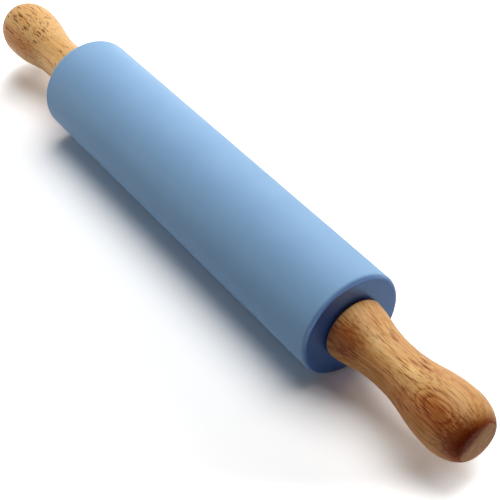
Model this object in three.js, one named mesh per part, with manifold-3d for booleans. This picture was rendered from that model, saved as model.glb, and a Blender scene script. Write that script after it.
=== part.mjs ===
// Silicone rolling pin: a blue silicone sleeve on a wooden core, spinning on a steel rod that carries two turned
// wooden handles. Millimetres, +Z up, the rod along X. The origin is on the table, under the middle of the roller.
import * as THREE from "three";
import { mergeVertices } from "three/addons/utils/BufferGeometryUtils.js";
import Module from "manifold-3d";

// Roller: the silicone sleeve and the wooden core inside it
const ROLLER_LENGTH = 222;
const ROLLER_RADIUS = 26;
const ROLLER_EDGE = 3;
const SKIN = 3;
const LIP_EDGE = 0.6;
const CORE_CHAMFER = 1.2;
const CORE_BORE_CLEARANCE = 2;

// Axle rod and the nylon bushes that run on it
const ROD_RADIUS = 4;
const ROD_CHAMFER = 0.8;
const ROD_PROUD = 2;
const RELIEF_DEPTH = 0.6;
const RELIEF_WIDTH = 1.4;
const BUSH_LENGTH = 18;
const BUSH_WALL = 3.6;
const BUSH_FLANGE = 2;
const BUSH_FLANGE_RIM = 2.6;
const BUSH_LEAD = 0.8;

// Stack between each bush and its handle
const END_FLOAT = 0.3;
const THRUST_WASHER = 1;
const THRUST_WASHER_BAND = 4.6;
const STEEL_WASHER = 1.6;
const STEEL_WASHER_BAND = 4.2;
const NUT_HEIGHT = 4;
const NUT_WALL = 2.2;
const NUT_SIDES = 6;
const NUT_CHAMFER_ANGLE = 30;

// Brass insert in each handle
const INSERT_LENGTH = 14;
const INSERT_WALL = 1.6;
const INSERT_BARB = 0.5;
const INSERT_BARBS = 4;
const BARB_LAND = 0.4;
const BARB_SLOPE = 0.5;

// Turned handle, from the base beside the roller to the butt
const HANDLE_GAP = 0.6;
const BASE_RADIUS = 15;
const BASE_EDGE = 1.8;
const BASE_TO_WAIST = 28.7;
const WAIST_RADIUS = 11.2;
const WAIST_TO_BULGE = 34;
const BULGE_RADIUS = 15.3;
const BULGE_TO_BUTT = 14.4;
const BUTT_RADIUS = 8.7;
const COUNTERBORE_CLEARANCE = 0.8;
const BORE_END_CLEARANCE = 2;

// How the handle's three curves pull: shares of a curve's length, or of its fall in radius
const BASE_PULL = 0.41;
const BASE_FALL = 0.29;
const WAIST_PULL_BACK = 0.49;
const WAIST_PULL_ON = 0.43;
const BULGE_PULL_BACK = 0.45;
const BULGE_PULL_ON = 0.54;
const BUTT_PULL_BACK = 0.05;
const BUTT_FALL = 0.56;

// Gaps between pieces that touch, and between the rod and what turns or slides on it
const SEAT_GAP = 0.3;
const ROD_GAP = 0.3;

// Facets round each turned piece, and steps along each rounded edge or curve
const LARGE_FACETS = 48;
const HANDLE_FACETS = 40;
const SMALL_FACETS = 32;
const EDGE_STEPS = 4;
const CURVE_STEPS = 8;

const materials = {
  silicone: new THREE.MeshStandardMaterial({ color: 0x86b3e0, roughness: 0.55, metalness: 0 }),
  handleWood: new THREE.MeshStandardMaterial({ color: 0xc08a52, roughness: 0.4, metalness: 0 }),
  coreWood: new THREE.MeshStandardMaterial({ color: 0xd8b483, roughness: 0.75, metalness: 0 }),
  nylon: new THREE.MeshStandardMaterial({ color: 0xe9e6dc, roughness: 0.5, metalness: 0 }),
  steel: new THREE.MeshStandardMaterial({ color: 0xb4b8bc, roughness: 0.3, metalness: 1 }),
  brass: new THREE.MeshStandardMaterial({ color: 0xc9a24e, roughness: 0.35, metalness: 1 }),
};

// Radii that follow from the sizes above
const rodBoreRadius = ROD_RADIUS + ROD_GAP;
const bushRadius = rodBoreRadius + BUSH_WALL;
const bushFlangeRadius = bushRadius + BUSH_FLANGE_RIM;
const coreRadius = ROLLER_RADIUS - SKIN - SEAT_GAP;
const nutFlatRadius = rodBoreRadius + NUT_WALL;
const nutCornerRadius = nutFlatRadius / Math.cos(Math.PI / NUT_SIDES);
const steelWasherRadius = rodBoreRadius + STEEL_WASHER_BAND;
const insertRadius = rodBoreRadius + INSERT_WALL + INSERT_BARB;
const counterboreRadius = Math.max(steelWasherRadius, nutCornerRadius) + COUNTERBORE_CLEARANCE;

// Stations along the rod, from the middle of the roller to one end
const skinInside = ROLLER_LENGTH / 2 - SKIN;
const coreEnd = skinInside - SEAT_GAP;
const bushFlangeSeat = coreEnd + SEAT_GAP;
const thrustWasherSeat = bushFlangeSeat + BUSH_FLANGE + END_FLOAT;
const steelWasherSeat = thrustWasherSeat + THRUST_WASHER + SEAT_GAP;
const nutSeat = steelWasherSeat + STEEL_WASHER + SEAT_GAP;
const insertSeat = nutSeat + NUT_HEIGHT + SEAT_GAP;
const rodEnd = insertSeat + INSERT_LENGTH + ROD_PROUD;
const handleBase = ROLLER_LENGTH / 2 + HANDLE_GAP;

const point = (radius, along) => new THREE.Vector2(radius, along);

// A quarter-round edge in a profile, about a centre, between two angles in degrees from the radial direction.
function roundEdge(radius, along, size, from, to) {
  const [start, end] = [from, to].map(THREE.MathUtils.degToRad);
  return new THREE.EllipseCurve(radius, along, size, size, start, end, end < start).getPoints(EDGE_STEPS);
}

// A turned piece: the profile revolved about Y, with the middles of its facets on the true round.
function turned(profile, facets) {
  const half = Math.PI / facets;
  const swollen = profile.map((p) => point(p.x / Math.cos(half), p.y));
  return new THREE.LatheGeometry(swollen, facets, half);
}

function piece(name, geometry, material, along = 0) {
  const mesh = new THREE.Mesh(geometry, material);
  mesh.name = name;
  mesh.position.y = along;
  return mesh;
}

// A closed geometry as a solid for cutting, and a solid as a geometry again
const wasm = await Module();
wasm.setup();

function solid(geometry) {
  const bare = geometry.clone().deleteAttribute("normal").deleteAttribute("uv");
  const merged = mergeVertices(bare, 1e-4);
  return new wasm.Manifold(
    new wasm.Mesh({
      numProp: 3,
      vertProperties: merged.attributes.position.array,
      triVerts: new Uint32Array(merged.index.array),
    }),
  );
}

function geometryOf(shape) {
  const mesh = shape.getMesh();
  const geometry = new THREE.BufferGeometry();
  geometry.setAttribute("position", new THREE.BufferAttribute(mesh.vertProperties, 3));
  geometry.setIndex(new THREE.BufferAttribute(mesh.triVerts, 1));
  geometry.computeVertexNormals();
  return geometry;
}

// Silicone sleeve: a moulded tube that wraps over both ends of the core and leaves a round mouth for each bush.
function sleeveGeometry() {
  const end = ROLLER_LENGTH / 2;
  const edge = Math.min(ROLLER_EDGE, SKIN);
  const inside = ROLLER_RADIUS - SKIN;
  const mouth = bushFlangeRadius + SEAT_GAP;
  const lip = Math.min(LIP_EDGE, SKIN / 2);
  const upperHalf = [
    point(inside, skinInside),
    point(mouth, skinInside),
    ...roundEdge(mouth + lip, end - lip, lip, 180, 90),
    ...roundEdge(ROLLER_RADIUS - edge, end - edge, edge, 90, 0),
  ];
  const lowerHalf = upperHalf.map((p) => point(p.x, -p.y)).reverse();
  return turned([...upperHalf, ...lowerHalf, upperHalf[0]].reverse(), LARGE_FACETS);
}

// Wooden core: a turned cylinder with a through bore for the rod and a counterbore at each end for a bush.
function coreGeometry() {
  const seatRadius = bushRadius + SEAT_GAP;
  const seatDepth = BUSH_LENGTH + SEAT_GAP;
  const bore = ROD_RADIUS + CORE_BORE_CLEARANCE;
  const upperHalf = [
    point(bore, coreEnd - seatDepth),
    point(seatRadius, coreEnd - seatDepth),
    point(seatRadius, coreEnd),
    point(coreRadius - CORE_CHAMFER, coreEnd),
    point(coreRadius, coreEnd - CORE_CHAMFER),
  ];
  const lowerHalf = upperHalf.map((p) => point(p.x, -p.y)).reverse();
  return turned([...upperHalf, ...lowerHalf, upperHalf[0]].reverse(), LARGE_FACETS);
}

// Steel rod: plain between the washers, with a thread relief inside each nut and chamfered ends.
function rodGeometry() {
  const reliefEnd = nutSeat - SEAT_GAP;
  const upperHalf = [
    point(ROD_RADIUS, reliefEnd - RELIEF_WIDTH - RELIEF_DEPTH),
    point(ROD_RADIUS - RELIEF_DEPTH, reliefEnd - RELIEF_WIDTH),
    point(ROD_RADIUS - RELIEF_DEPTH, reliefEnd - RELIEF_DEPTH),
    point(ROD_RADIUS, reliefEnd),
    point(ROD_RADIUS, rodEnd - ROD_CHAMFER),
    point(ROD_RADIUS - ROD_CHAMFER, rodEnd),
    point(0, rodEnd),
  ];
  const lowerHalf = upperHalf.map((p) => point(p.x, -p.y)).reverse();
  return turned([...lowerHalf, ...upperHalf], SMALL_FACETS);
}

// Nylon bush: pressed into the core up to its flange, with a lead-in on its inner end.
function bushGeometry() {
  const profile = [
    point(rodBoreRadius, -BUSH_LENGTH),
    point(bushRadius - BUSH_LEAD, -BUSH_LENGTH),
    point(bushRadius, BUSH_LEAD - BUSH_LENGTH),
    point(bushRadius, 0),
    point(bushFlangeRadius, 0),
    point(bushFlangeRadius, BUSH_FLANGE),
    point(rodBoreRadius, BUSH_FLANGE),
    point(rodBoreRadius, -BUSH_LENGTH),
  ];
  return turned(profile, SMALL_FACETS);
}

function washerGeometry(band, height) {
  const profile = [
    point(rodBoreRadius, 0),
    point(rodBoreRadius + band, 0),
    point(rodBoreRadius + band, height),
    point(rodBoreRadius, height),
    point(rodBoreRadius, 0),
  ];
  return turned(profile, SMALL_FACETS);
}

// Lock nut: a hexagon with a round bore, its corners turned off by a cone on both faces.
function nutGeometry() {
  const hexagon = new THREE.Shape();
  for (let corner = 0; corner < NUT_SIDES; corner++) {
    const angle = (corner * 2 * Math.PI) / NUT_SIDES;
    const place = [nutCornerRadius * Math.cos(angle), nutCornerRadius * Math.sin(angle)];
    if (corner === 0) hexagon.moveTo(...place);
    else hexagon.lineTo(...place);
  }
  const prism = new THREE.ExtrudeGeometry(hexagon, { depth: NUT_HEIGHT, bevelEnabled: false });
  prism.rotateX(-Math.PI / 2);
  const fall = (nutCornerRadius - nutFlatRadius) * Math.tan(THREE.MathUtils.degToRad(NUT_CHAMFER_ANGLE));
  const blank = [
    point(rodBoreRadius, 0),
    point(nutFlatRadius, 0),
    point(nutCornerRadius, fall),
    point(nutCornerRadius, NUT_HEIGHT - fall),
    point(nutFlatRadius, NUT_HEIGHT),
    point(rodBoreRadius, NUT_HEIGHT),
    point(rodBoreRadius, 0),
  ];
  return geometryOf(solid(prism).intersect(solid(turned(blank, SMALL_FACETS))));
}

// Brass insert: a bush with ring barbs that hold it in the wood of the handle.
function insertGeometry() {
  const root = insertRadius - INSERT_BARB;
  const pitch = INSERT_LENGTH / INSERT_BARBS;
  const profile = [point(rodBoreRadius, 0), point(insertRadius, 0)];
  for (let barb = 0; barb < INSERT_BARBS; barb++) {
    profile.push(point(insertRadius, (barb + BARB_LAND) * pitch));
    profile.push(point(root, (barb + BARB_LAND + BARB_SLOPE) * pitch));
    if (barb < INSERT_BARBS - 1) profile.push(point(insertRadius, (barb + 1) * pitch));
  }
  profile.push(point(root, INSERT_LENGTH), point(rodBoreRadius, INSERT_LENGTH), point(rodBoreRadius, 0));
  return turned(profile, SMALL_FACETS);
}

// The turned outline of a handle from its base: in to the waist, out to the bulge, and round to the flat butt.
function handleOutline() {
  const base = point(BASE_RADIUS, BASE_EDGE);
  const waist = point(WAIST_RADIUS, BASE_TO_WAIST);
  const bulge = point(BULGE_RADIUS, BASE_TO_WAIST + WAIST_TO_BULGE);
  const butt = point(BUTT_RADIUS, bulge.y + BULGE_TO_BUTT);
  const toWaist = new THREE.CubicBezierCurve(
    base,
    point(THREE.MathUtils.lerp(BASE_RADIUS, WAIST_RADIUS, BASE_FALL), BASE_TO_WAIST * BASE_PULL),
    point(WAIST_RADIUS, BASE_TO_WAIST * (1 - WAIST_PULL_BACK)),
    waist,
  );
  const toBulge = new THREE.CubicBezierCurve(
    waist,
    point(WAIST_RADIUS, waist.y + WAIST_TO_BULGE * WAIST_PULL_ON),
    point(BULGE_RADIUS, bulge.y - WAIST_TO_BULGE * BULGE_PULL_BACK),
    bulge,
  );
  const toButt = new THREE.CubicBezierCurve(
    bulge,
    point(BULGE_RADIUS, bulge.y + BULGE_TO_BUTT * BULGE_PULL_ON),
    point(THREE.MathUtils.lerp(BULGE_RADIUS, BUTT_RADIUS, BUTT_FALL), butt.y - BULGE_TO_BUTT * BUTT_PULL_BACK),
    butt,
  );
  const baseEdge = roundEdge(BASE_RADIUS - BASE_EDGE, BASE_EDGE, BASE_EDGE, -90, 0);
  const curves = [toWaist, toBulge, toButt].flatMap((curve) => curve.getPoints(CURVE_STEPS).slice(1));
  return [...baseEdge, ...curves];
}

// Handle: turned outside, with a stepped blind bore for the nut and washer, the insert and the end of the rod.
function handleGeometry() {
  const floor = insertSeat - handleBase;
  const insertEnd = floor + INSERT_LENGTH + SEAT_GAP;
  const boreEnd = rodEnd - handleBase + BORE_END_CLEARANCE;
  const insertBore = insertRadius + SEAT_GAP;
  const outline = handleOutline();
  const profile = [
    point(0, boreEnd),
    point(rodBoreRadius, boreEnd),
    point(rodBoreRadius, insertEnd),
    point(insertBore, insertEnd),
    point(insertBore, floor),
    point(counterboreRadius, floor),
    point(counterboreRadius, 0),
    ...outline,
    point(0, outline.at(-1).y),
  ];
  return turned(profile, HANDLE_FACETS);
}

// One end of the pin, from the bush outwards along +Y. The bush belongs to the roller and the rest to the axle.
function pinEnd(side) {
  const end = new THREE.Group();
  end.add(
    piece(`${side}_bush`, bushGeometry(), materials.nylon, bushFlangeSeat),
    piece(
      `${side}_thrust_washer`,
      washerGeometry(THRUST_WASHER_BAND, THRUST_WASHER),
      materials.nylon,
      thrustWasherSeat,
    ),
    piece(
      `${side}_steel_washer`,
      washerGeometry(STEEL_WASHER_BAND, STEEL_WASHER),
      materials.steel,
      steelWasherSeat,
    ),
    piece(`${side}_lock_nut`, nutGeometry(), materials.steel, nutSeat),
    piece(`${side}_handle_insert`, insertGeometry(), materials.brass, insertSeat),
    piece(`${side}_handle`, handleGeometry(), materials.handleWood, handleBase),
  );
  return end;
}

const rightEnd = pinEnd("right");
const leftEnd = pinEnd("left");
leftEnd.rotation.z = Math.PI;

// Everything is turned about Y, then laid along X at the height where the sleeve rests on the table.
const rollingPin = new THREE.Group();
const laid = new THREE.Group();
laid.rotation.z = -Math.PI / 2;
laid.position.z = ROLLER_RADIUS;
laid.add(
  piece("silicone_sleeve", sleeveGeometry(), materials.silicone),
  piece("roller_core", coreGeometry(), materials.coreWood),
  piece("axle_rod", rodGeometry(), materials.steel),
  rightEnd,
  leftEnd,
);
rollingPin.add(laid);

export default rollingPin;
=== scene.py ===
"""Looks of the silicone rolling pin: fine turned meshes, procedural materials, floor, lights and camera.

Metres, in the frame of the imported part: the rod along X, the right handle at +X, the table at Z = 0.
"""
import math

import bmesh
import bpy
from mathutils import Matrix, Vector
from mathutils.geometry import interpolate_bezier


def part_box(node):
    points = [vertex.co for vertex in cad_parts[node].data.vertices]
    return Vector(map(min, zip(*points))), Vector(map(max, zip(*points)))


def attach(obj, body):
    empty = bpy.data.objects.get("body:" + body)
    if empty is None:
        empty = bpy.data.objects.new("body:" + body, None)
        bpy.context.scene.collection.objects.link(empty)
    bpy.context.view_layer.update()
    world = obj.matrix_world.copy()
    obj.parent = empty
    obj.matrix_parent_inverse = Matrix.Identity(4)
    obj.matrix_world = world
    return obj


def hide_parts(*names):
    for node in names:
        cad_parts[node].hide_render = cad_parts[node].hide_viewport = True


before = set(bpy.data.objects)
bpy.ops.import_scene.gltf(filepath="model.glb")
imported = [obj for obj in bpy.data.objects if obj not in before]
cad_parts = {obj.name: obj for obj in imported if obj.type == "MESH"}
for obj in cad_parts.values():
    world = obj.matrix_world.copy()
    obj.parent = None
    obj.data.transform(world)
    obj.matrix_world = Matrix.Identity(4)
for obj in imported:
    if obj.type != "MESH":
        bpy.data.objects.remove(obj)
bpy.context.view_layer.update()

MM = 0.001

# Sizes that the frame gives
sleeve_low, sleeve_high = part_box("silicone_sleeve")
core_low, core_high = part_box("roller_core")
bush_low, bush_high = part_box("right_bush")
insert_low, insert_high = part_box("right_handle_insert")
handle_low, handle_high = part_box("right_handle")
rod_low, rod_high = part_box("axle_rod")
roller_middle = (sleeve_low + sleeve_high) / 2
AXIS_HEIGHT = roller_middle.z
ROLLER_RADIUS = (sleeve_high.z - sleeve_low.z) / 2
ROLLER_END = sleeve_high.x
HANDLE_BASE = handle_low.x
HANDLE_BUTT = handle_high.x

# Camera: its place from the middle of the roller, and where it looks, fitted to the photograph's outlines
CAMERA_FROM_ROLLER = Vector((0.38287, -0.24874, 0.37584))
CAMERA_PITCH = 42.220
CAMERA_AZIMUTH = 54.283
CAMERA_LENS = 88.584
CAMERA_SENSOR = 36.0
CLIP_START = 0.01

# Turned shapes
ROUND_STEPS = 192
EDGE_STEPS = 10
CURVE_STEPS = 36
SHARP_ANGLE = 28
SEAT_GAP = 0.3 * MM
SLEEVE_EDGE = 2.2 * MM
SLEEVE_LIP = 0.6 * MM
COUNTERBORE_RADIUS = 9.3 * MM
BORE_END_CLEARANCE = 2.0 * MM
BASE_EDGE = 1.8 * MM
BASE_RADIUS = 15.0 * MM
BASE_TO_WAIST = 28.7 * MM
WAIST_RADIUS = 11.2 * MM
WAIST_TO_BULGE = 34.0 * MM
BULGE_RADIUS = 15.3 * MM
BUTT_RADIUS = 8.7 * MM

# How the handle's three curves pull: shares of a curve's length, or of its fall in radius
BASE_PULL = 0.41
BASE_FALL = 0.29
WAIST_PULL_BACK = 0.49
WAIST_PULL_ON = 0.43
BULGE_PULL_BACK = 0.45
BULGE_PULL_ON = 0.54
BUTT_PULL_BACK = 0.05
BUTT_FALL = 0.56


def revolve(name, profile, loop=False):
    """A mesh turned about the rod from (x, radius) points; a radius of 0 closes it on the axis."""
    mesh = bpy.data.meshes.new(name)
    shape = bmesh.new()
    rings = []
    for x, radius in profile:
        count = ROUND_STEPS if radius > 0 else 1
        turns = [2 * math.pi * step / ROUND_STEPS for step in range(count)]
        rings.append(
            [shape.verts.new((x, radius * math.sin(t), AXIS_HEIGHT + radius * math.cos(t))) for t in turns]
        )
    pairs = list(zip(rings, rings[1:]))
    if loop:
        pairs.append((rings[-1], rings[0]))
    for near, far in pairs:
        for step in range(ROUND_STEPS):
            after = (step + 1) % ROUND_STEPS
            start = [near[step % len(near)], near[after % len(near)]]
            end = [far[after % len(far)], far[step % len(far)]]
            shape.faces.new(list(dict.fromkeys(start + end)))
    bmesh.ops.recalc_face_normals(shape, faces=shape.faces)
    shape.to_mesh(mesh)
    shape.free()
    mesh.polygons.foreach_set("use_smooth", [True] * len(mesh.polygons))
    mesh.set_sharp_from_angle(angle=math.radians(SHARP_ANGLE))
    piece = bpy.data.objects.new(name, mesh)
    bpy.context.scene.collection.objects.link(piece)
    return piece


def arc(x, radius, size, start, end):
    """Points of a rounded edge about a centre in a profile, between two angles in degrees from +X."""
    angles = [math.radians(start + (end - start) * step / EDGE_STEPS) for step in range(EDGE_STEPS + 1)]
    return [(x + size * math.cos(a), radius + size * math.sin(a)) for a in angles]


def curve(start, pull_start, pull_end, end):
    """Points of one smooth curve in a profile, without its first point."""
    points = interpolate_bezier(*[Vector((*p, 0)) for p in (start, pull_start, pull_end, end)], CURVE_STEPS)
    return [(p.x, p.y) for p in points[1:]]


def sleeve():
    """The silicone skin: a tube turned in over both ends, with soft edges and a small lip at each mouth."""
    mouth = (bush_high.z - bush_low.z) / 2 + SEAT_GAP
    inside = (core_high.z - core_low.z) / 2 + SEAT_GAP
    inner_end = core_high.x + SEAT_GAP
    half = [
        (inner_end, inside),
        (inner_end, mouth),
        *arc(ROLLER_END - SLEEVE_LIP, mouth + SLEEVE_LIP, SLEEVE_LIP, -90, 0),
        *arc(ROLLER_END - SLEEVE_EDGE, ROLLER_RADIUS - SLEEVE_EDGE, SLEEVE_EDGE, 0, 90),
    ]
    return revolve("sleeve_skin", half + [(-x, radius) for x, radius in reversed(half)], loop=True)


def handle_outline():
    """The turned outside of a handle on the right: base, waist, bulge and the rounding to the flat butt."""
    waist = HANDLE_BASE + BASE_TO_WAIST
    bulge = waist + WAIST_TO_BULGE
    to_butt = HANDLE_BUTT - bulge
    base_fall = BASE_FALL * (BASE_RADIUS - WAIST_RADIUS)
    butt_fall = BUTT_FALL * (BULGE_RADIUS - BUTT_RADIUS)
    return [
        *arc(HANDLE_BASE + BASE_EDGE, BASE_RADIUS - BASE_EDGE, BASE_EDGE, 180, 90),
        *curve(
            (HANDLE_BASE + BASE_EDGE, BASE_RADIUS),
            (HANDLE_BASE + BASE_PULL * BASE_TO_WAIST, BASE_RADIUS - base_fall),
            (waist - WAIST_PULL_BACK * BASE_TO_WAIST, WAIST_RADIUS),
            (waist, WAIST_RADIUS),
        ),
        *curve(
            (waist, WAIST_RADIUS),
            (waist + WAIST_PULL_ON * WAIST_TO_BULGE, WAIST_RADIUS),
            (bulge - BULGE_PULL_BACK * WAIST_TO_BULGE, BULGE_RADIUS),
            (bulge, BULGE_RADIUS),
        ),
        *curve(
            (bulge, BULGE_RADIUS),
            (bulge + BULGE_PULL_ON * to_butt, BULGE_RADIUS),
            (HANDLE_BUTT - BUTT_PULL_BACK * to_butt, BULGE_RADIUS - butt_fall),
            (HANDLE_BUTT, BUTT_RADIUS),
        ),
    ]


def handle(name, side):
    """A turned handle round a stepped blind bore for the nut and washer, the insert and the rod's end."""
    insert_bore = (insert_high.z - insert_low.z) / 2 + SEAT_GAP
    insert_end = insert_high.x + SEAT_GAP
    rod_bore = (rod_high.z - rod_low.z) / 2 + SEAT_GAP
    bore_end = rod_high.x + BORE_END_CLEARANCE
    profile = [
        (bore_end, 0),
        (bore_end, rod_bore),
        (insert_end, rod_bore),
        (insert_end, insert_bore),
        (insert_low.x, insert_bore),
        (insert_low.x, COUNTERBORE_RADIUS),
        (HANDLE_BASE, COUNTERBORE_RADIUS),
        *handle_outline(),
        (HANDLE_BUTT, 0),
    ]
    return revolve(name, [(side * x, radius) for x, radius in profile])


def grey(level):
    """An opaque linear grey."""
    return (level, level, level, 1)


def even(value):
    """The same value along X, Y and Z."""
    return (value, value, value)


# The Mix node's factor, its two colours and its colour output, which stand between sockets of other types
MIX_INPUTS = (0, 6, 7)
MIX_OUTPUT = 2


class Recipe:
    """A node material in the making: each call adds a node and gives back one of its outputs."""

    def __init__(self, name):
        self.material = bpy.data.materials.new(name)
        self.material.use_nodes = True
        self.tree = self.material.node_tree
        self.surface = self.tree.nodes["Principled BSDF"]

    def feed(self, socket, value):
        """Links an output to a socket, or sets a constant on it."""
        if isinstance(value, bpy.types.NodeSocket):
            self.tree.links.new(value, socket)
        else:
            socket.default_value = value

    def add(self, kind, output=0, settings=None, **inputs):
        """A node of any kind; an underscore in an input's name stands for a space."""
        node = self.tree.nodes.new(kind)
        for key, value in (settings or {}).items():
            setattr(node, key, value)
        for key, value in inputs.items():
            self.feed(node.inputs[key.replace("_", " ")], value)
        return node.outputs[output]

    def calculate(self, kind, operation, values, output):
        """A node of either kind of arithmetic, with its values in the order of its inputs."""
        node = self.tree.nodes.new(kind)
        node.operation = operation
        for socket, value in zip(node.inputs, values):
            self.feed(socket, value)
        return node.outputs[output]

    def math(self, operation, *values):
        return self.calculate("ShaderNodeMath", operation, values, 0)

    def vector(self, operation, *values, output=0):
        return self.calculate("ShaderNodeVectorMath", operation, values, output)

    def dot(self, a, b):
        return self.vector("DOT_PRODUCT", a, b, output="Value")

    def ramp(self, value, low, high, start=0.0, end=1.0):
        """The value, eased from start at low to end at high."""
        return self.add(
            "ShaderNodeMapRange",
            settings={"interpolation_type": "SMOOTHSTEP"},
            Value=value, From_Min=low, From_Max=high, To_Min=start, To_Max=end,
        )

    def mix(self, share, a, b, blend="MIX"):
        node = self.tree.nodes.new("ShaderNodeMix")
        node.data_type = "RGBA"
        node.blend_type = blend
        for index, value in zip(MIX_INPUTS, (share, a, b)):
            self.feed(node.inputs[index], value)
        return node.outputs[MIX_OUTPUT]

    def noise(self, point, stretch, detail, roughness=0.5, output=0):
        """Noise over a place; stretch gives how many blobs there are to a millimetre along X, Y and Z."""
        place = self.vector("MULTIPLY", point, stretch)
        return self.add(
            "ShaderNodeTexNoise", output, Vector=place, Scale=1.0, Detail=detail, Roughness=roughness
        )

    def bands(self, along, scale, detail, roughness=0.5):
        """Uneven bands along one number."""
        return self.add(
            "ShaderNodeTexNoise",
            settings={"noise_dimensions": "1D"},
            W=along, Scale=scale, Detail=detail, Roughness=roughness,
        )

    def colours(self, value, *stops):
        """A colour for a value from 0 to 1, from (place, linear colour) stops."""
        node = self.tree.nodes.new("ShaderNodeValToRGB")
        node.color_ramp.interpolation = "EASE"
        elements = node.color_ramp.elements
        while len(elements) < len(stops):
            elements.new(0.5)
        for element, (place, colour) in zip(elements, stops):
            element.position = place
            element.color = (*colour, 1)
        self.feed(node.inputs[0], value)
        return node.outputs[0]

    def bump(self, height, distance, strength):
        return self.add("ShaderNodeBump", Height=height, Distance=distance, Strength=strength)

    def millimetres(self):
        """Places on the piece in millimetres, with the rod's axis as X."""
        return self.add(
            "ShaderNodeMapping",
            Vector=self.add("ShaderNodeTexCoord", "Object"),
            Scale=even(1 / MM),
            Location=(0, 0, -AXIS_HEIGHT / MM),
        )

    def finish(self, **inputs):
        """Sets the surface's own inputs and gives back the material."""
        for key, value in inputs.items():
            self.feed(self.surface.inputs[key.replace("_", " ")], value)
        return self.material


# A noise's mean, and the two ranges of its values that ramps take: where most of them lie, and a wider one
NOISE_MEAN = 0.5
MIDDLE = (0.3, 0.7)
WIDE = (0.2, 0.8)

# Which way the rod runs
ROD_LINE = (1, 0, 0)

# Silicone: linear colours, blobs to a millimetre, and what its end faces have instead of the side's values
SILICONE_DARK = (0.272, 0.474, 0.735, 1)
SILICONE_LIGHT = (0.288, 0.492, 0.755, 1)
# Painted shade: the end faces get a darker blue than the side, for the shade they lie in.
SILICONE_END_PAINTED_SHADE = (0.043, 0.135, 0.470, 1)
SILICONE_CLOUDS = 0.05
SILICONE_TEXTURE = 2.2
SILICONE_RELIEF = 0.02 * MM
SILICONE_ROUGHNESS = (0.42, 0.50)
SILICONE_SCATTER = 1.5 * MM
SILICONE_SCATTER_SHARE = 0.12
SILICONE_SCATTER_COLOUR = (0.6, 0.8, 1.0)
END_FACING = (0.40, 0.95)
END_TINT = (0.40, 0.66, 1.0, 1)
END_SMOOTHER = 0.16
SIDE_TO_END_IOR = (1.41, 1.75)
SIDE_TO_END_SPECULAR = (0.15, 1.0)


def silicone():
    """Satin-matte food-grade silicone with a faint moulded texture, its end faces a darker blue as painted
    shade.
    """
    make = Recipe("silicone")
    point = make.millimetres()
    cloud = make.noise(point, even(SILICONE_CLOUDS), detail=3, roughness=0.55)
    fine = make.noise(point, even(SILICONE_TEXTURE), detail=3, roughness=0.6)
    side = make.mix(make.ramp(cloud, *MIDDLE), SILICONE_DARK, SILICONE_LIGHT)
    facing = make.math("ABSOLUTE", make.dot(make.add("ShaderNodeTexCoord", "Normal"), ROD_LINE))
    end = make.ramp(facing, *END_FACING)
    roughness = make.ramp(fine, 0, 1, *SILICONE_ROUGHNESS)
    return make.finish(
        # Painted shade: the base colour turns darker blue on the end faces.
        Base_Color=make.mix(end, side, SILICONE_END_PAINTED_SHADE),
        Roughness=make.math("MULTIPLY_ADD", end, -END_SMOOTHER, roughness),
        IOR=make.ramp(end, 0, 1, *SIDE_TO_END_IOR),
        Specular_IOR_Level=make.ramp(end, 0, 1, *SIDE_TO_END_SPECULAR),
        Specular_Tint=make.mix(end, grey(1), END_TINT),
        Subsurface_Weight=SILICONE_SCATTER_SHARE,
        Subsurface_Radius=SILICONE_SCATTER_COLOUR,
        Subsurface_Scale=SILICONE_SCATTER,
        Normal=make.bump(fine, SILICONE_RELIEF, strength=0.6),
    )


# Wood of both handles: blobs of each noise to a millimetre along X, Y and Z, and the same for broad bands
SWAY_STRETCH = (0.02, 0.05, 0.05)
FIBRE_STRETCH = (0.035, 1.1, 1.1)
HAIR_STRETCH = (0.12, 5.0, 5.0)
BROKEN_STRETCH = (0.06, 1.5, 1.5)
FIELD_STRETCH = (0.04, 0.1, 0.1)
FRAY_STRETCH = (0.2, 0.5, 0.5)
SAW_STRETCH = (0.8, 0.15, 1)
BROAD_SCALE = 0.35

# The same wood: values between which its ramps ease, shares, and lengths in millimetres
FIELD_RANGE = (0.3, 0.6)
DENSE_EDGE = (0, 0.6)
EYE_EDGE = (0, 0.5)
BROKEN_RANGE = (0.38, 0.60)
SAW_RANGE = (0.35, 0.65)
GRAIN_SWAY = 2.0
RING_WANDER = 1.5
RING_SHARPNESS = 2.0
RING_FAINTEST = 0.5
FIELD_THINNEST = 0.7
PORE_EDGE = (-0.06, 0.02)
STAIN_FRAY = (1.35, 0.65)
STAIN_EDGE = (0.05, 0.8)
BUTT_SKIN = (0.5, 0.1)
BUTT_FRAY = 3.0
# Darkening of end grain, partly real oil take-up and partly painted shade: where it starts and is full, and
# its most.
END_GRAIN_SHADE_FACING = (0.28, 0.85)
END_GRAIN_SHADE_MOST = 0.95
WOOD_ROUGHNESS = (0.38, 0.50)
PORE_ROUGHNESS = 0.15
WOOD_SPECULAR = (0.20, 0.05)
HAIR_HEIGHT = 0.25
WOOD_RELIEF = 0.03 * MM


def near_to(make, point, centre, reach):
    """1 at a centre, easing to 0 at its reach along X, Y and Z."""
    away = make.vector("DIVIDE", make.vector("SUBTRACT", point, centre), reach)
    return make.ramp(make.vector("LENGTH", away, output="Value"), 1, 0)


def pore_layer(make, grain, field, cell, size, keep):
    """Open pores of one kind: slim spindles along the grain, one to a cell, where chance keeps them."""
    cells = make.vector("DIVIDE", grain, cell)
    distance = make.add("ShaderNodeTexVoronoi", "Distance", Vector=cells, Scale=1.0)
    chance = make.add("ShaderNodeTexVoronoi", "Color", Vector=cells, Scale=1.0)
    luck = make.math("MULTIPLY", make.add("ShaderNodeSeparateColor", "Red", Color=chance), field)
    reach = make.math("MULTIPLY", make.ramp(luck, 1 - keep, 1), size)
    return make.ramp(make.math("SUBTRACT", distance, reach), *PORE_EDGE, 1, 0)


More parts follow.
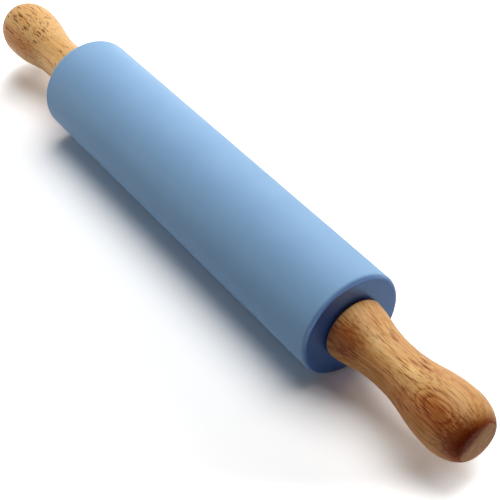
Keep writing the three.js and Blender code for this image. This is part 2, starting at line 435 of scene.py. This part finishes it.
def along_face(make, point, share):
    """How far to shift a place towards one radius, so that marks run on along the turned face."""
    outward = make.vector("MULTIPLY", point, (0, 1, 1))
    level = make.vector("MULTIPLY", make.vector("NORMALIZE", outward), even(WAIST_RADIUS / MM))
    shift = make.vector("SUBTRACT", level, outward)
    return make.vector("MULTIPLY", shift, even(share))


def wood_pores(make, point, grain, look):
    """All the pores of a handle, and the thin dark lines of cut vessels where they are dense."""
    grain = make.vector("ADD", grain, along_face(make, point, look["pore_follow"]))
    dense = make.ramp(near_to(make, point, *look["dense"]), *DENSE_EDGE, look["sparse_share"], 1)
    field = make.noise(point, FIELD_STRETCH, detail=1)
    field = make.ramp(field, *FIELD_RANGE, FIELD_THINNEST, 1)
    field = make.math("MULTIPLY", field, dense)
    streak = make.noise(grain, look["line_stretch"], detail=1, roughness=0.4)
    pores = make.math("MULTIPLY", make.ramp(streak, *look["line_cut"], 0, look["line_strength"]), dense)
    for cell, size, keep, strength in look["pores"]:
        layer = make.math("MULTIPLY", pore_layer(make, grain, field, cell, size, keep), strength)
        pores = make.math("MAXIMUM", pores, layer)
    return pores


def wood_depth(make, grain, look):
    """How deep a place lies under the bark: growth layers bend round the pith on the far side."""
    facing = Vector(look["ring_facing"]).normalized()
    sideways = make.dot(grain, facing.cross(Vector(ROD_LINE)))
    bend = make.math("MULTIPLY", make.math("MULTIPLY", sideways, sideways), 1 / (2 * look["pith_distance"]))
    return make.math("ADD", make.dot(grain, facing), bend)


def wood_tone(make, point, grain, fibres, hairs, look):
    """The plain colour of the wood, from its fibres and growth layers, which show most round the eye."""
    depth = wood_depth(make, grain, look)
    broad = make.bands(depth, BROAD_SCALE, detail=1)
    growth = make.math("MULTIPLY_ADD", depth, 1 / look["ring_width"], look["ring_start"])
    growth = make.math("FRACT", make.math("MULTIPLY_ADD", broad, RING_WANDER, growth))
    swirl = make.ramp(near_to(make, point, *look["eye"]), *EYE_EDGE, look["plain_rings"], 1)
    broken = make.noise(grain, BROKEN_STRETCH, detail=2)
    broken = make.ramp(broken, *BROKEN_RANGE, RING_FAINTEST, 1)
    late = make.math("MULTIPLY", make.math("POWER", growth, RING_SHARPNESS), swirl)
    late = make.math("MULTIPLY", late, broken)
    tone = make.math("MULTIPLY", fibres, look["fibre_share"])
    shares = ((broad, look["broad_share"]), (hairs, look["hair_share"]), (late, -look["late_share"]))
    for value, share in shares:
        tone = make.math("MULTIPLY_ADD", value, share, tone)
    return make.colours(make.ramp(tone, *look["tone_range"]), *look["tones"])


def wood_marks_and_painted_light(make, colour, point, fibres, look):
    """Dark patches of stain and the eye, frayed along the fibres, with patches of painted shade and painted
    highlight made the same way.
    """
    frayed = make.ramp(fibres, *MIDDLE, *STAIN_FRAY)
    for centre, reach, tint, strength in look["stains_and_painted_light"]:
        patch = make.math("MULTIPLY", near_to(make, point, centre, reach), frayed)
        colour = make.mix(make.ramp(patch, *STAIN_EDGE, 0, strength), colour, (*tint, 1), "MULTIPLY")
    return colour


def butt_share(make, point, grain, look):
    """1 on the sawn butt, bar a strip of painted shade on one side with a frayed edge, and 0 elsewhere."""
    outward = make.math("ABSOLUTE", make.dot(point, ROD_LINE))
    skin = make.ramp(outward, *[HANDLE_BUTT / MM - depth for depth in BUTT_SKIN])
    fray = make.noise(grain, FRAY_STRETCH, detail=3)
    across = make.math("MULTIPLY_ADD", fray, BUTT_FRAY, make.dot(point, look["butt_way"]))
    return make.math("MULTIPLY", skin, make.ramp(across, *look["butt_cut"]))


def butt_colour(make, grain, look):
    """The pale sawn end grain, with the marks of the saw."""
    saw_line = Vector(look["saw_line"])
    across = make.dot(grain, saw_line)
    along = make.dot(grain, saw_line.cross(Vector(ROD_LINE)))
    place = make.add("ShaderNodeCombineXYZ", X=across, Y=along)
    sawn = make.noise(place, SAW_STRETCH, detail=4, roughness=0.65)
    return make.mix(make.ramp(sawn, *SAW_RANGE), (*look["butt_dark"], 1), (*look["butt_light"], 1))


def wood_ends(make, colour, point, grain, look):
    """End grain darkens, partly with oil and partly as painted shade; the sawn butt is paler, bar a
    painted-shade strip.
    """
    butt = butt_share(make, point, grain, look)
    normal = make.add("ShaderNodeTexCoord", "Normal")
    facing_grain = make.math("ABSOLUTE", make.dot(normal, look["fibre_line"]))
    end_grain_and_shade = make.ramp(facing_grain, *END_GRAIN_SHADE_FACING, 0, END_GRAIN_SHADE_MOST)
    end_grain_and_shade_here = make.math("MULTIPLY", end_grain_and_shade, make.math("SUBTRACT", 1, butt))
    colour = make.mix(end_grain_and_shade_here, colour, (*look["end_tint"], 1), "MULTIPLY")
    return make.mix(butt, colour, butt_colour(make, grain, look)), end_grain_and_shade


def handle_wood(name, look):
    """Oiled hardwood cut as a solid: rings, fibres and pores follow the grain, whatever the turned face."""
    make = Recipe(name)
    point = make.millimetres()
    slow = make.noise(point, SWAY_STRETCH, detail=2, output="Color")
    slow = make.vector("SUBTRACT", slow, even(NOISE_MEAN))
    sway = make.vector("MULTIPLY", slow, (0, GRAIN_SWAY, GRAIN_SWAY))
    grain = make.vector("ADD", make.vector("ADD", point, sway), look["shift"])
    fibres = make.noise(grain, FIBRE_STRETCH, detail=5, roughness=0.62)
    hairs = make.noise(grain, HAIR_STRETCH, detail=2)
    colour = wood_tone(make, point, grain, fibres, hairs, look)
    colour = wood_marks_and_painted_light(make, colour, point, fibres, look)
    colour, end_grain_and_shade = wood_ends(make, colour, point, grain, look)
    pores = wood_pores(make, point, grain, look)
    roughness = make.ramp(fibres, *WIDE, *WOOD_ROUGHNESS)
    height = make.math("SUBTRACT", make.math("MULTIPLY", hairs, HAIR_HEIGHT), pores)
    return make.finish(
        Base_Color=make.mix(pores, colour, (*look["pore_tint"], 1), "MULTIPLY"),
        Roughness=make.math("MULTIPLY_ADD", pores, PORE_ROUGHNESS, roughness),
        Specular_IOR_Level=make.ramp(end_grain_and_shade, 0, 1, *WOOD_SPECULAR),
        Normal=make.bump(height, WOOD_RELIEF, strength=0.5),
    )


# The two handles' woods: places and sizes in millimetres from the middle of the rod, colours linear.
# A stain or a patch of painted shade or highlight has its centre, reach, tint and strength; a kind of pore
# its cell, size, share kept and strength.
NEAR_WOOD = {
    "shift": (0.0, 0.0, 0.0),
    "ring_facing": (0.0, -0.63, 0.78),
    "pith_distance": 60.0,
    "ring_width": 0.62,
    "ring_start": 0.30,
    "eye": ((172.5, -9.5, 11.8), (17, 11, 11)),
    "plain_rings": 0.15,
    "fibre_share": 0.85,
    "broad_share": 0.4,
    "hair_share": 0.3,
    "late_share": 0.38,
    "tone_range": (0.46, 0.90),
    "tones": (
        (0.0, (0.46, 0.140, 0.025)),
        (0.5, (0.67, 0.300, 0.085)),
        (1.0, (0.78, 0.445, 0.165)),
    ),
    "stains_and_painted_light": (
        ((120, -12, 7), (17, 15, 14), (0.46, 0.19, 0.06), 0.85),
        ((187, -9, 6), (20, 14, 15), (0.50, 0.20, 0.06), 0.9),
        # Painted shade: the next two patches darken and redden the handle's -Y side, where it lies in
        # shade.
        ((166, -13, 7), (30, 8, 9), (0.80, 0.56, 0.36), 0.8),
        ((150, -15, -2), (62, 14, 19), (0.90, 0.62, 0.40), 0.6),
        # Painted highlight: a paler, whiter patch on top of the waist, where the light falls.
        ((143, -3.6, 10.8), (36, 5.5, 6), (1.30, 1.52, 1.80), 1.0),
        ((172.5, -9.5, 11.8), (12, 6, 6), (0.78, 0.58, 0.42), 0.9),
    ),
    # This line leans a little, so the rounding towards the butt darkens more on its -Y side: painted shade.
    "fibre_line": (1.0, -0.1, 0.0),
    "end_tint": (0.46, 0.17, 0.05),
    # butt_way and butt_cut place the strip of painted shade on the butt.
    "butt_way": (0.0, 0.64, -0.77),
    "butt_cut": (-4.2, 1.0),
    "saw_line": (0.0, 0.78, -0.63),
    "butt_dark": (0.65, 0.25, 0.085),
    "butt_light": (0.78, 0.435, 0.215),
    "dense": ((150, -4, 9), (40, 17, 14)),
    "pore_follow": 0.75,
    "sparse_share": 0.65,
    "line_stretch": (0.09, 2.6, 2.6),
    "line_cut": (0.60, 0.71),
    "line_strength": 0.95,
    "pores": (
        ((22.0, 0.95, 0.95), 0.36, 0.95, 1.0),
        ((12.0, 0.65, 0.65), 0.36, 0.8, 0.7),
        ((6.0, 0.55, 0.55), 0.40, 0.9, 0.6),
    ),
    "pore_tint": (0.32, 0.145, 0.045),
}

FAR_WOOD = {
    "shift": (31.0, 17.0, 9.0),
    "ring_facing": (0.0, 0.55, 0.83),
    "pith_distance": 40.0,
    "ring_width": 1.3,
    "ring_start": 0.3,
    "eye": ((-172.5, 9.5, 11.8), (22, 14, 14)),
    "plain_rings": 0.4,
    "fibre_share": 0.95,
    "broad_share": 0.35,
    "hair_share": 0.3,
    "late_share": 0.15,
    "tone_range": (0.55, 0.81),
    "tones": (
        (0.0, (0.58, 0.225, 0.046)),
        (0.5, (0.77, 0.388, 0.116)),
        (1.0, (0.83, 0.490, 0.190)),
    ),
    "stains_and_painted_light": (
        # Painted shade: a darker, redder patch on the handle's -Y side, where it lies in shade.
        ((-168, -13, 3), (36, 12, 10), (0.90, 0.60, 0.36), 0.9),
        # Painted light: a paler patch on the handle's lower side, for light thrown up from the floor.
        ((-130, -11, 4), (30, 10, 12), (1.30, 1.30, 1.30), 1.0),
    ),
    # This line leans a little, so the rounding towards the butt darkens more on its -Y side: painted shade.
    "fibre_line": (1.0, 0.1, 0.0),
    "end_tint": (0.5, 0.26, 0.13),
    # butt_way and butt_cut place the strip of painted shade on the butt.
    "butt_way": (0.0, 0.64, -0.77),
    "butt_cut": (-9.0, -5.0),
    "saw_line": (0.0, 0.63, 0.78),
    "butt_dark": (0.58, 0.24, 0.085),
    "butt_light": (0.90, 0.46, 0.21),
    "dense": ((-165, -5, 9), (30, 18, 15)),
    "pore_follow": 0.2,
    "sparse_share": 0.6,
    "line_stretch": (0.12, 1.9, 1.9),
    "line_cut": (0.57, 0.69),
    "line_strength": 0.7,
    "pores": (
        ((10.0, 1.15, 1.15), 0.40, 0.95, 1.0),
        ((16.0, 0.8, 0.8), 0.38, 0.95, 0.8),
    ),
    "pore_tint": (0.22, 0.080, 0.022),
}


# Core wood: linear colours, blobs or rings to a millimetre, and shares
CORE_TONES = (
    (0.0, (0.50, 0.30, 0.135)),
    (0.5, (0.64, 0.42, 0.205)),
    (1.0, (0.72, 0.51, 0.280)),
)
CORE_FIBRES = (0.03, 0.8, 0.8)
CORE_FLECKS = (0.3, 2.5, 2.5)
CORE_FLECK_TINT = (0.60, 0.42, 0.26, 1)
CORE_FLECK_RANGE = (0.60, 0.72)
CORE_FLECK_MOST = 0.5
CORE_TOOL_RINGS = 1.4
CORE_TOOL_HEIGHT = 0.6
CORE_FIBRE_HEIGHT = 0.4
CORE_ROUGHNESS = (0.66, 0.82)
CORE_SPECULAR = 0.25
CORE_RELIEF = 0.08 * MM


def core_wood():
    """Plain pale hardwood, unfinished, with close grain and the rings of the lathe tool."""
    make = Recipe("core_wood")
    point = make.millimetres()
    fibres = make.noise(point, CORE_FIBRES, detail=5, roughness=0.6)
    flecks = make.noise(point, CORE_FLECKS, detail=2)
    tool = make.bands(make.dot(point, ROD_LINE), CORE_TOOL_RINGS, detail=2)
    colour = make.colours(make.ramp(fibres, *MIDDLE), *CORE_TONES)
    fleck = make.ramp(flecks, *CORE_FLECK_RANGE, 0, CORE_FLECK_MOST)
    fibre_height = make.math("MULTIPLY", fibres, CORE_FIBRE_HEIGHT)
    height = make.math("MULTIPLY_ADD", tool, CORE_TOOL_HEIGHT, fibre_height)
    return make.finish(
        Base_Color=make.mix(fleck, colour, CORE_FLECK_TINT, "MULTIPLY"),
        Roughness=make.ramp(fibres, *WIDE, *CORE_ROUGHNESS),
        Specular_IOR_Level=CORE_SPECULAR,
        Normal=make.bump(height, CORE_RELIEF, strength=0.6),
    )


# Nylon: linear colours, and blobs to a millimetre
NYLON_DARK = (0.76, 0.74, 0.66, 1)
NYLON_LIGHT = (0.82, 0.80, 0.74, 1)
NYLON_CLOUDS = 0.25
NYLON_TEXTURE = 6.0
NYLON_ROUGHNESS = (0.38, 0.52)
NYLON_SCATTER = 1.0 * MM
NYLON_SCATTER_SHARE = 0.2
NYLON_SCATTER_COLOUR = (1.0, 0.9, 0.7)
NYLON_RELIEF = 0.01 * MM


def nylon():
    """Natural moulded nylon: milky, with a fine texture."""
    make = Recipe("nylon")
    point = make.millimetres()
    cloud = make.noise(point, even(NYLON_CLOUDS), detail=3)
    fine = make.noise(point, even(NYLON_TEXTURE), detail=2)
    return make.finish(
        Base_Color=make.mix(make.ramp(cloud, *MIDDLE), NYLON_DARK, NYLON_LIGHT),
        Roughness=make.ramp(fine, *WIDE, *NYLON_ROUGHNESS),
        Subsurface_Weight=NYLON_SCATTER_SHARE,
        Subsurface_Radius=NYLON_SCATTER_COLOUR,
        Subsurface_Scale=NYLON_SCATTER,
        Normal=make.bump(fine, NYLON_RELIEF, strength=0.5),
    )


# Metals: linear colours where dull and where bright, roughness, and rings or blobs to a millimetre
STEEL = {
    "dull": (0.55, 0.56, 0.57),
    "bright": (0.68, 0.69, 0.71),
    "roughness": (0.22, 0.36),
    "tool_rings": 5.0,
}
BRASS = {
    "dull": (0.62, 0.40, 0.13),
    "bright": (0.74, 0.52, 0.20),
    "roughness": (0.20, 0.34),
    "tool_rings": 7.0,
}
FILM_CLOUDS = 0.3
FILM_ROUGHNESS = 0.15
METAL_RELIEF = 0.01 * MM


def turned_metal(name, dull, bright, roughness, tool_rings):
    """Turned metal: fine rings of the tool along the rod, and a cloudy film on the surface."""
    make = Recipe(name)
    point = make.millimetres()
    tool = make.bands(make.dot(point, ROD_LINE), tool_rings, detail=3, roughness=0.6)
    film = make.noise(point, even(FILM_CLOUDS), detail=4, roughness=0.6)
    ringed = make.ramp(tool, *WIDE, *roughness)
    return make.finish(
        Base_Color=make.mix(make.ramp(film, *MIDDLE), (*dull, 1), (*bright, 1)),
        Metallic=1.0,
        Roughness=make.math("MULTIPLY_ADD", film, FILM_ROUGHNESS, ringed),
        Normal=make.bump(tool, METAL_RELIEF, strength=0.6),
    )


def dress(piece, body, node, material):
    """Sends a new piece to its body, in place of a node of the frame."""
    piece.data.materials.append(material)
    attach(piece, body)
    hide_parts(node)


def dress_nodes(material, *names):
    """Gives nodes of the frame that stay as they are their material."""
    for name in names:
        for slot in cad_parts[name].material_slots:
            slot.material = material


near_handle = handle("right_handle_turned", 1)
far_handle = handle("left_handle_turned", -1)
dress(sleeve(), "roller", "silicone_sleeve", silicone())
dress(near_handle, "axle", "right_handle", handle_wood("handle_wood_near", NEAR_WOOD))
dress(far_handle, "axle", "left_handle", handle_wood("handle_wood_far", FAR_WOOD))
dress_nodes(core_wood(), "roller_core")
dress_nodes(nylon(), "right_bush", "left_bush", "right_thrust_washer", "left_thrust_washer")
dress_nodes(
    turned_metal("steel", **STEEL),
    "axle_rod", "right_steel_washer", "left_steel_washer", "right_lock_nut", "left_lock_nut",
)
dress_nodes(turned_metal("brass", **BRASS), "right_handle_insert", "left_handle_insert")

# Floor: what it shows, mirrors and throws back, and the two distances from a point behind the roller
# between which it fades to white by itself
FLOOR_SIZE = 8.0
FLOOR_DROP = 0.02 * MM
FLOOR_SHOWN = 1.42
FLOOR_MIRRORED = 0.9
FLOOR_BOUNCE = 0.65
FLOOR_FADE_FROM = (0, 0.05, 0)
FLOOR_FADE = (0.178, 0.214)

# Lights: a softbox's place from the middle of the roller, its size, and its share of a plain level
SOFTBOXES = {
    "key": ((-0.12, 0.24, 0.95), (0.90, 0.80), 0.92),
    "rim": ((-0.36, 0.78, 0.47), (0.80, 0.40), 0.40),
    "fill": ((-0.62, -0.75, 0.12), (0.80, 0.20), 0.125),
}
AMBIENT = 0.02


def floor():
    """A pale floor that shows white, with the object's shadow, and throws back less light than it shows.

    Beyond the handles it fades to white by itself, as the photograph's shadows do towards its edges.
    """
    mesh = bpy.data.meshes.new("floor")
    reach = FLOOR_SIZE / 2
    corners = ((-reach, -reach), (reach, -reach), (reach, reach), (-reach, reach))
    mesh.from_pydata([(x, y, -FLOOR_DROP) for x, y in corners], [], [(0, 1, 2, 3)])
    plane = bpy.data.objects.new("floor", mesh)
    bpy.context.scene.collection.objects.link(plane)
    make = Recipe("floor")
    path = make.tree.nodes.new("ShaderNodeLightPath")
    mirrored = make.math("MAXIMUM", path.outputs["Is Glossy Ray"], path.outputs["Is Transmission Ray"])
    seen = path.outputs["Is Camera Ray"]
    shown = make.math("MAXIMUM", seen, mirrored)
    reflected = make.mix(mirrored, grey(FLOOR_BOUNCE), grey(FLOOR_MIRRORED))
    place = make.vector("SUBTRACT", make.add("ShaderNodeTexCoord", "Object"), FLOOR_FADE_FROM)
    away = make.vector("LENGTH", place, output="Value")
    make.finish(
        Base_Color=make.mix(seen, reflected, grey(FLOOR_SHOWN)),
        Emission_Color=grey(1),
        Emission_Strength=make.math("MULTIPLY", shown, make.ramp(away, *FLOOR_FADE)),
        Roughness=1.0,
        Specular_IOR_Level=0.0,
    )
    mesh.materials.append(make.material)


def softbox(name, place, size, share):
    """A softbox that faces the roller; a share of 1 alone shows a square-on white surface as white."""
    place = Vector(place)
    light = bpy.data.lights.new(name, "AREA")
    light.shape = "RECTANGLE"
    light.size, light.size_y = size
    light.energy = share * (math.pi * place.length) ** 2
    lamp = bpy.data.objects.new(name, light)
    lamp.location = roller_middle + place
    lamp.rotation_euler = (-place).to_track_quat("-Z", "Y").to_euler()
    bpy.context.scene.collection.objects.link(lamp)


def surroundings():
    """A white surround for the camera and for reflections, which adds only a little light of its own."""
    world = bpy.data.worlds.new("studio")
    bpy.context.scene.world = world
    world.use_nodes = True
    tree = world.node_tree
    path = tree.nodes.new("ShaderNodeLightPath")
    seen = path.outputs["Is Camera Ray"]
    for ray in ("Is Glossy Ray", "Is Transmission Ray"):
        either = tree.nodes.new("ShaderNodeMath")
        either.operation = "MAXIMUM"
        tree.links.new(seen, either.inputs[0])
        tree.links.new(path.outputs[ray], either.inputs[1])
        seen = either.outputs[0]
    strength = tree.nodes.new("ShaderNodeMapRange")
    strength.inputs["To Min"].default_value = AMBIENT
    tree.links.new(seen, strength.inputs["Value"])
    tree.links.new(strength.outputs[0], tree.nodes["Background"].inputs["Strength"])
    tree.nodes["Background"].inputs["Color"].default_value = grey(1)


floor()
surroundings()
for name, (place, size, share) in SOFTBOXES.items():
    softbox(name, place, size, share)

# Camera
lens = bpy.data.cameras.new("camera")
lens.lens = CAMERA_LENS
lens.sensor_width = CAMERA_SENSOR
lens.clip_start = CLIP_START
camera = bpy.data.objects.new("camera", lens)
camera.location = roller_middle + CAMERA_FROM_ROLLER
camera.rotation_euler = (math.radians(90 - CAMERA_PITCH), 0, math.radians(CAMERA_AZIMUTH))
bpy.context.scene.collection.objects.link(camera)
bpy.context.scene.camera = camera
bpy.context.scene.view_settings.view_transform = "Standard"
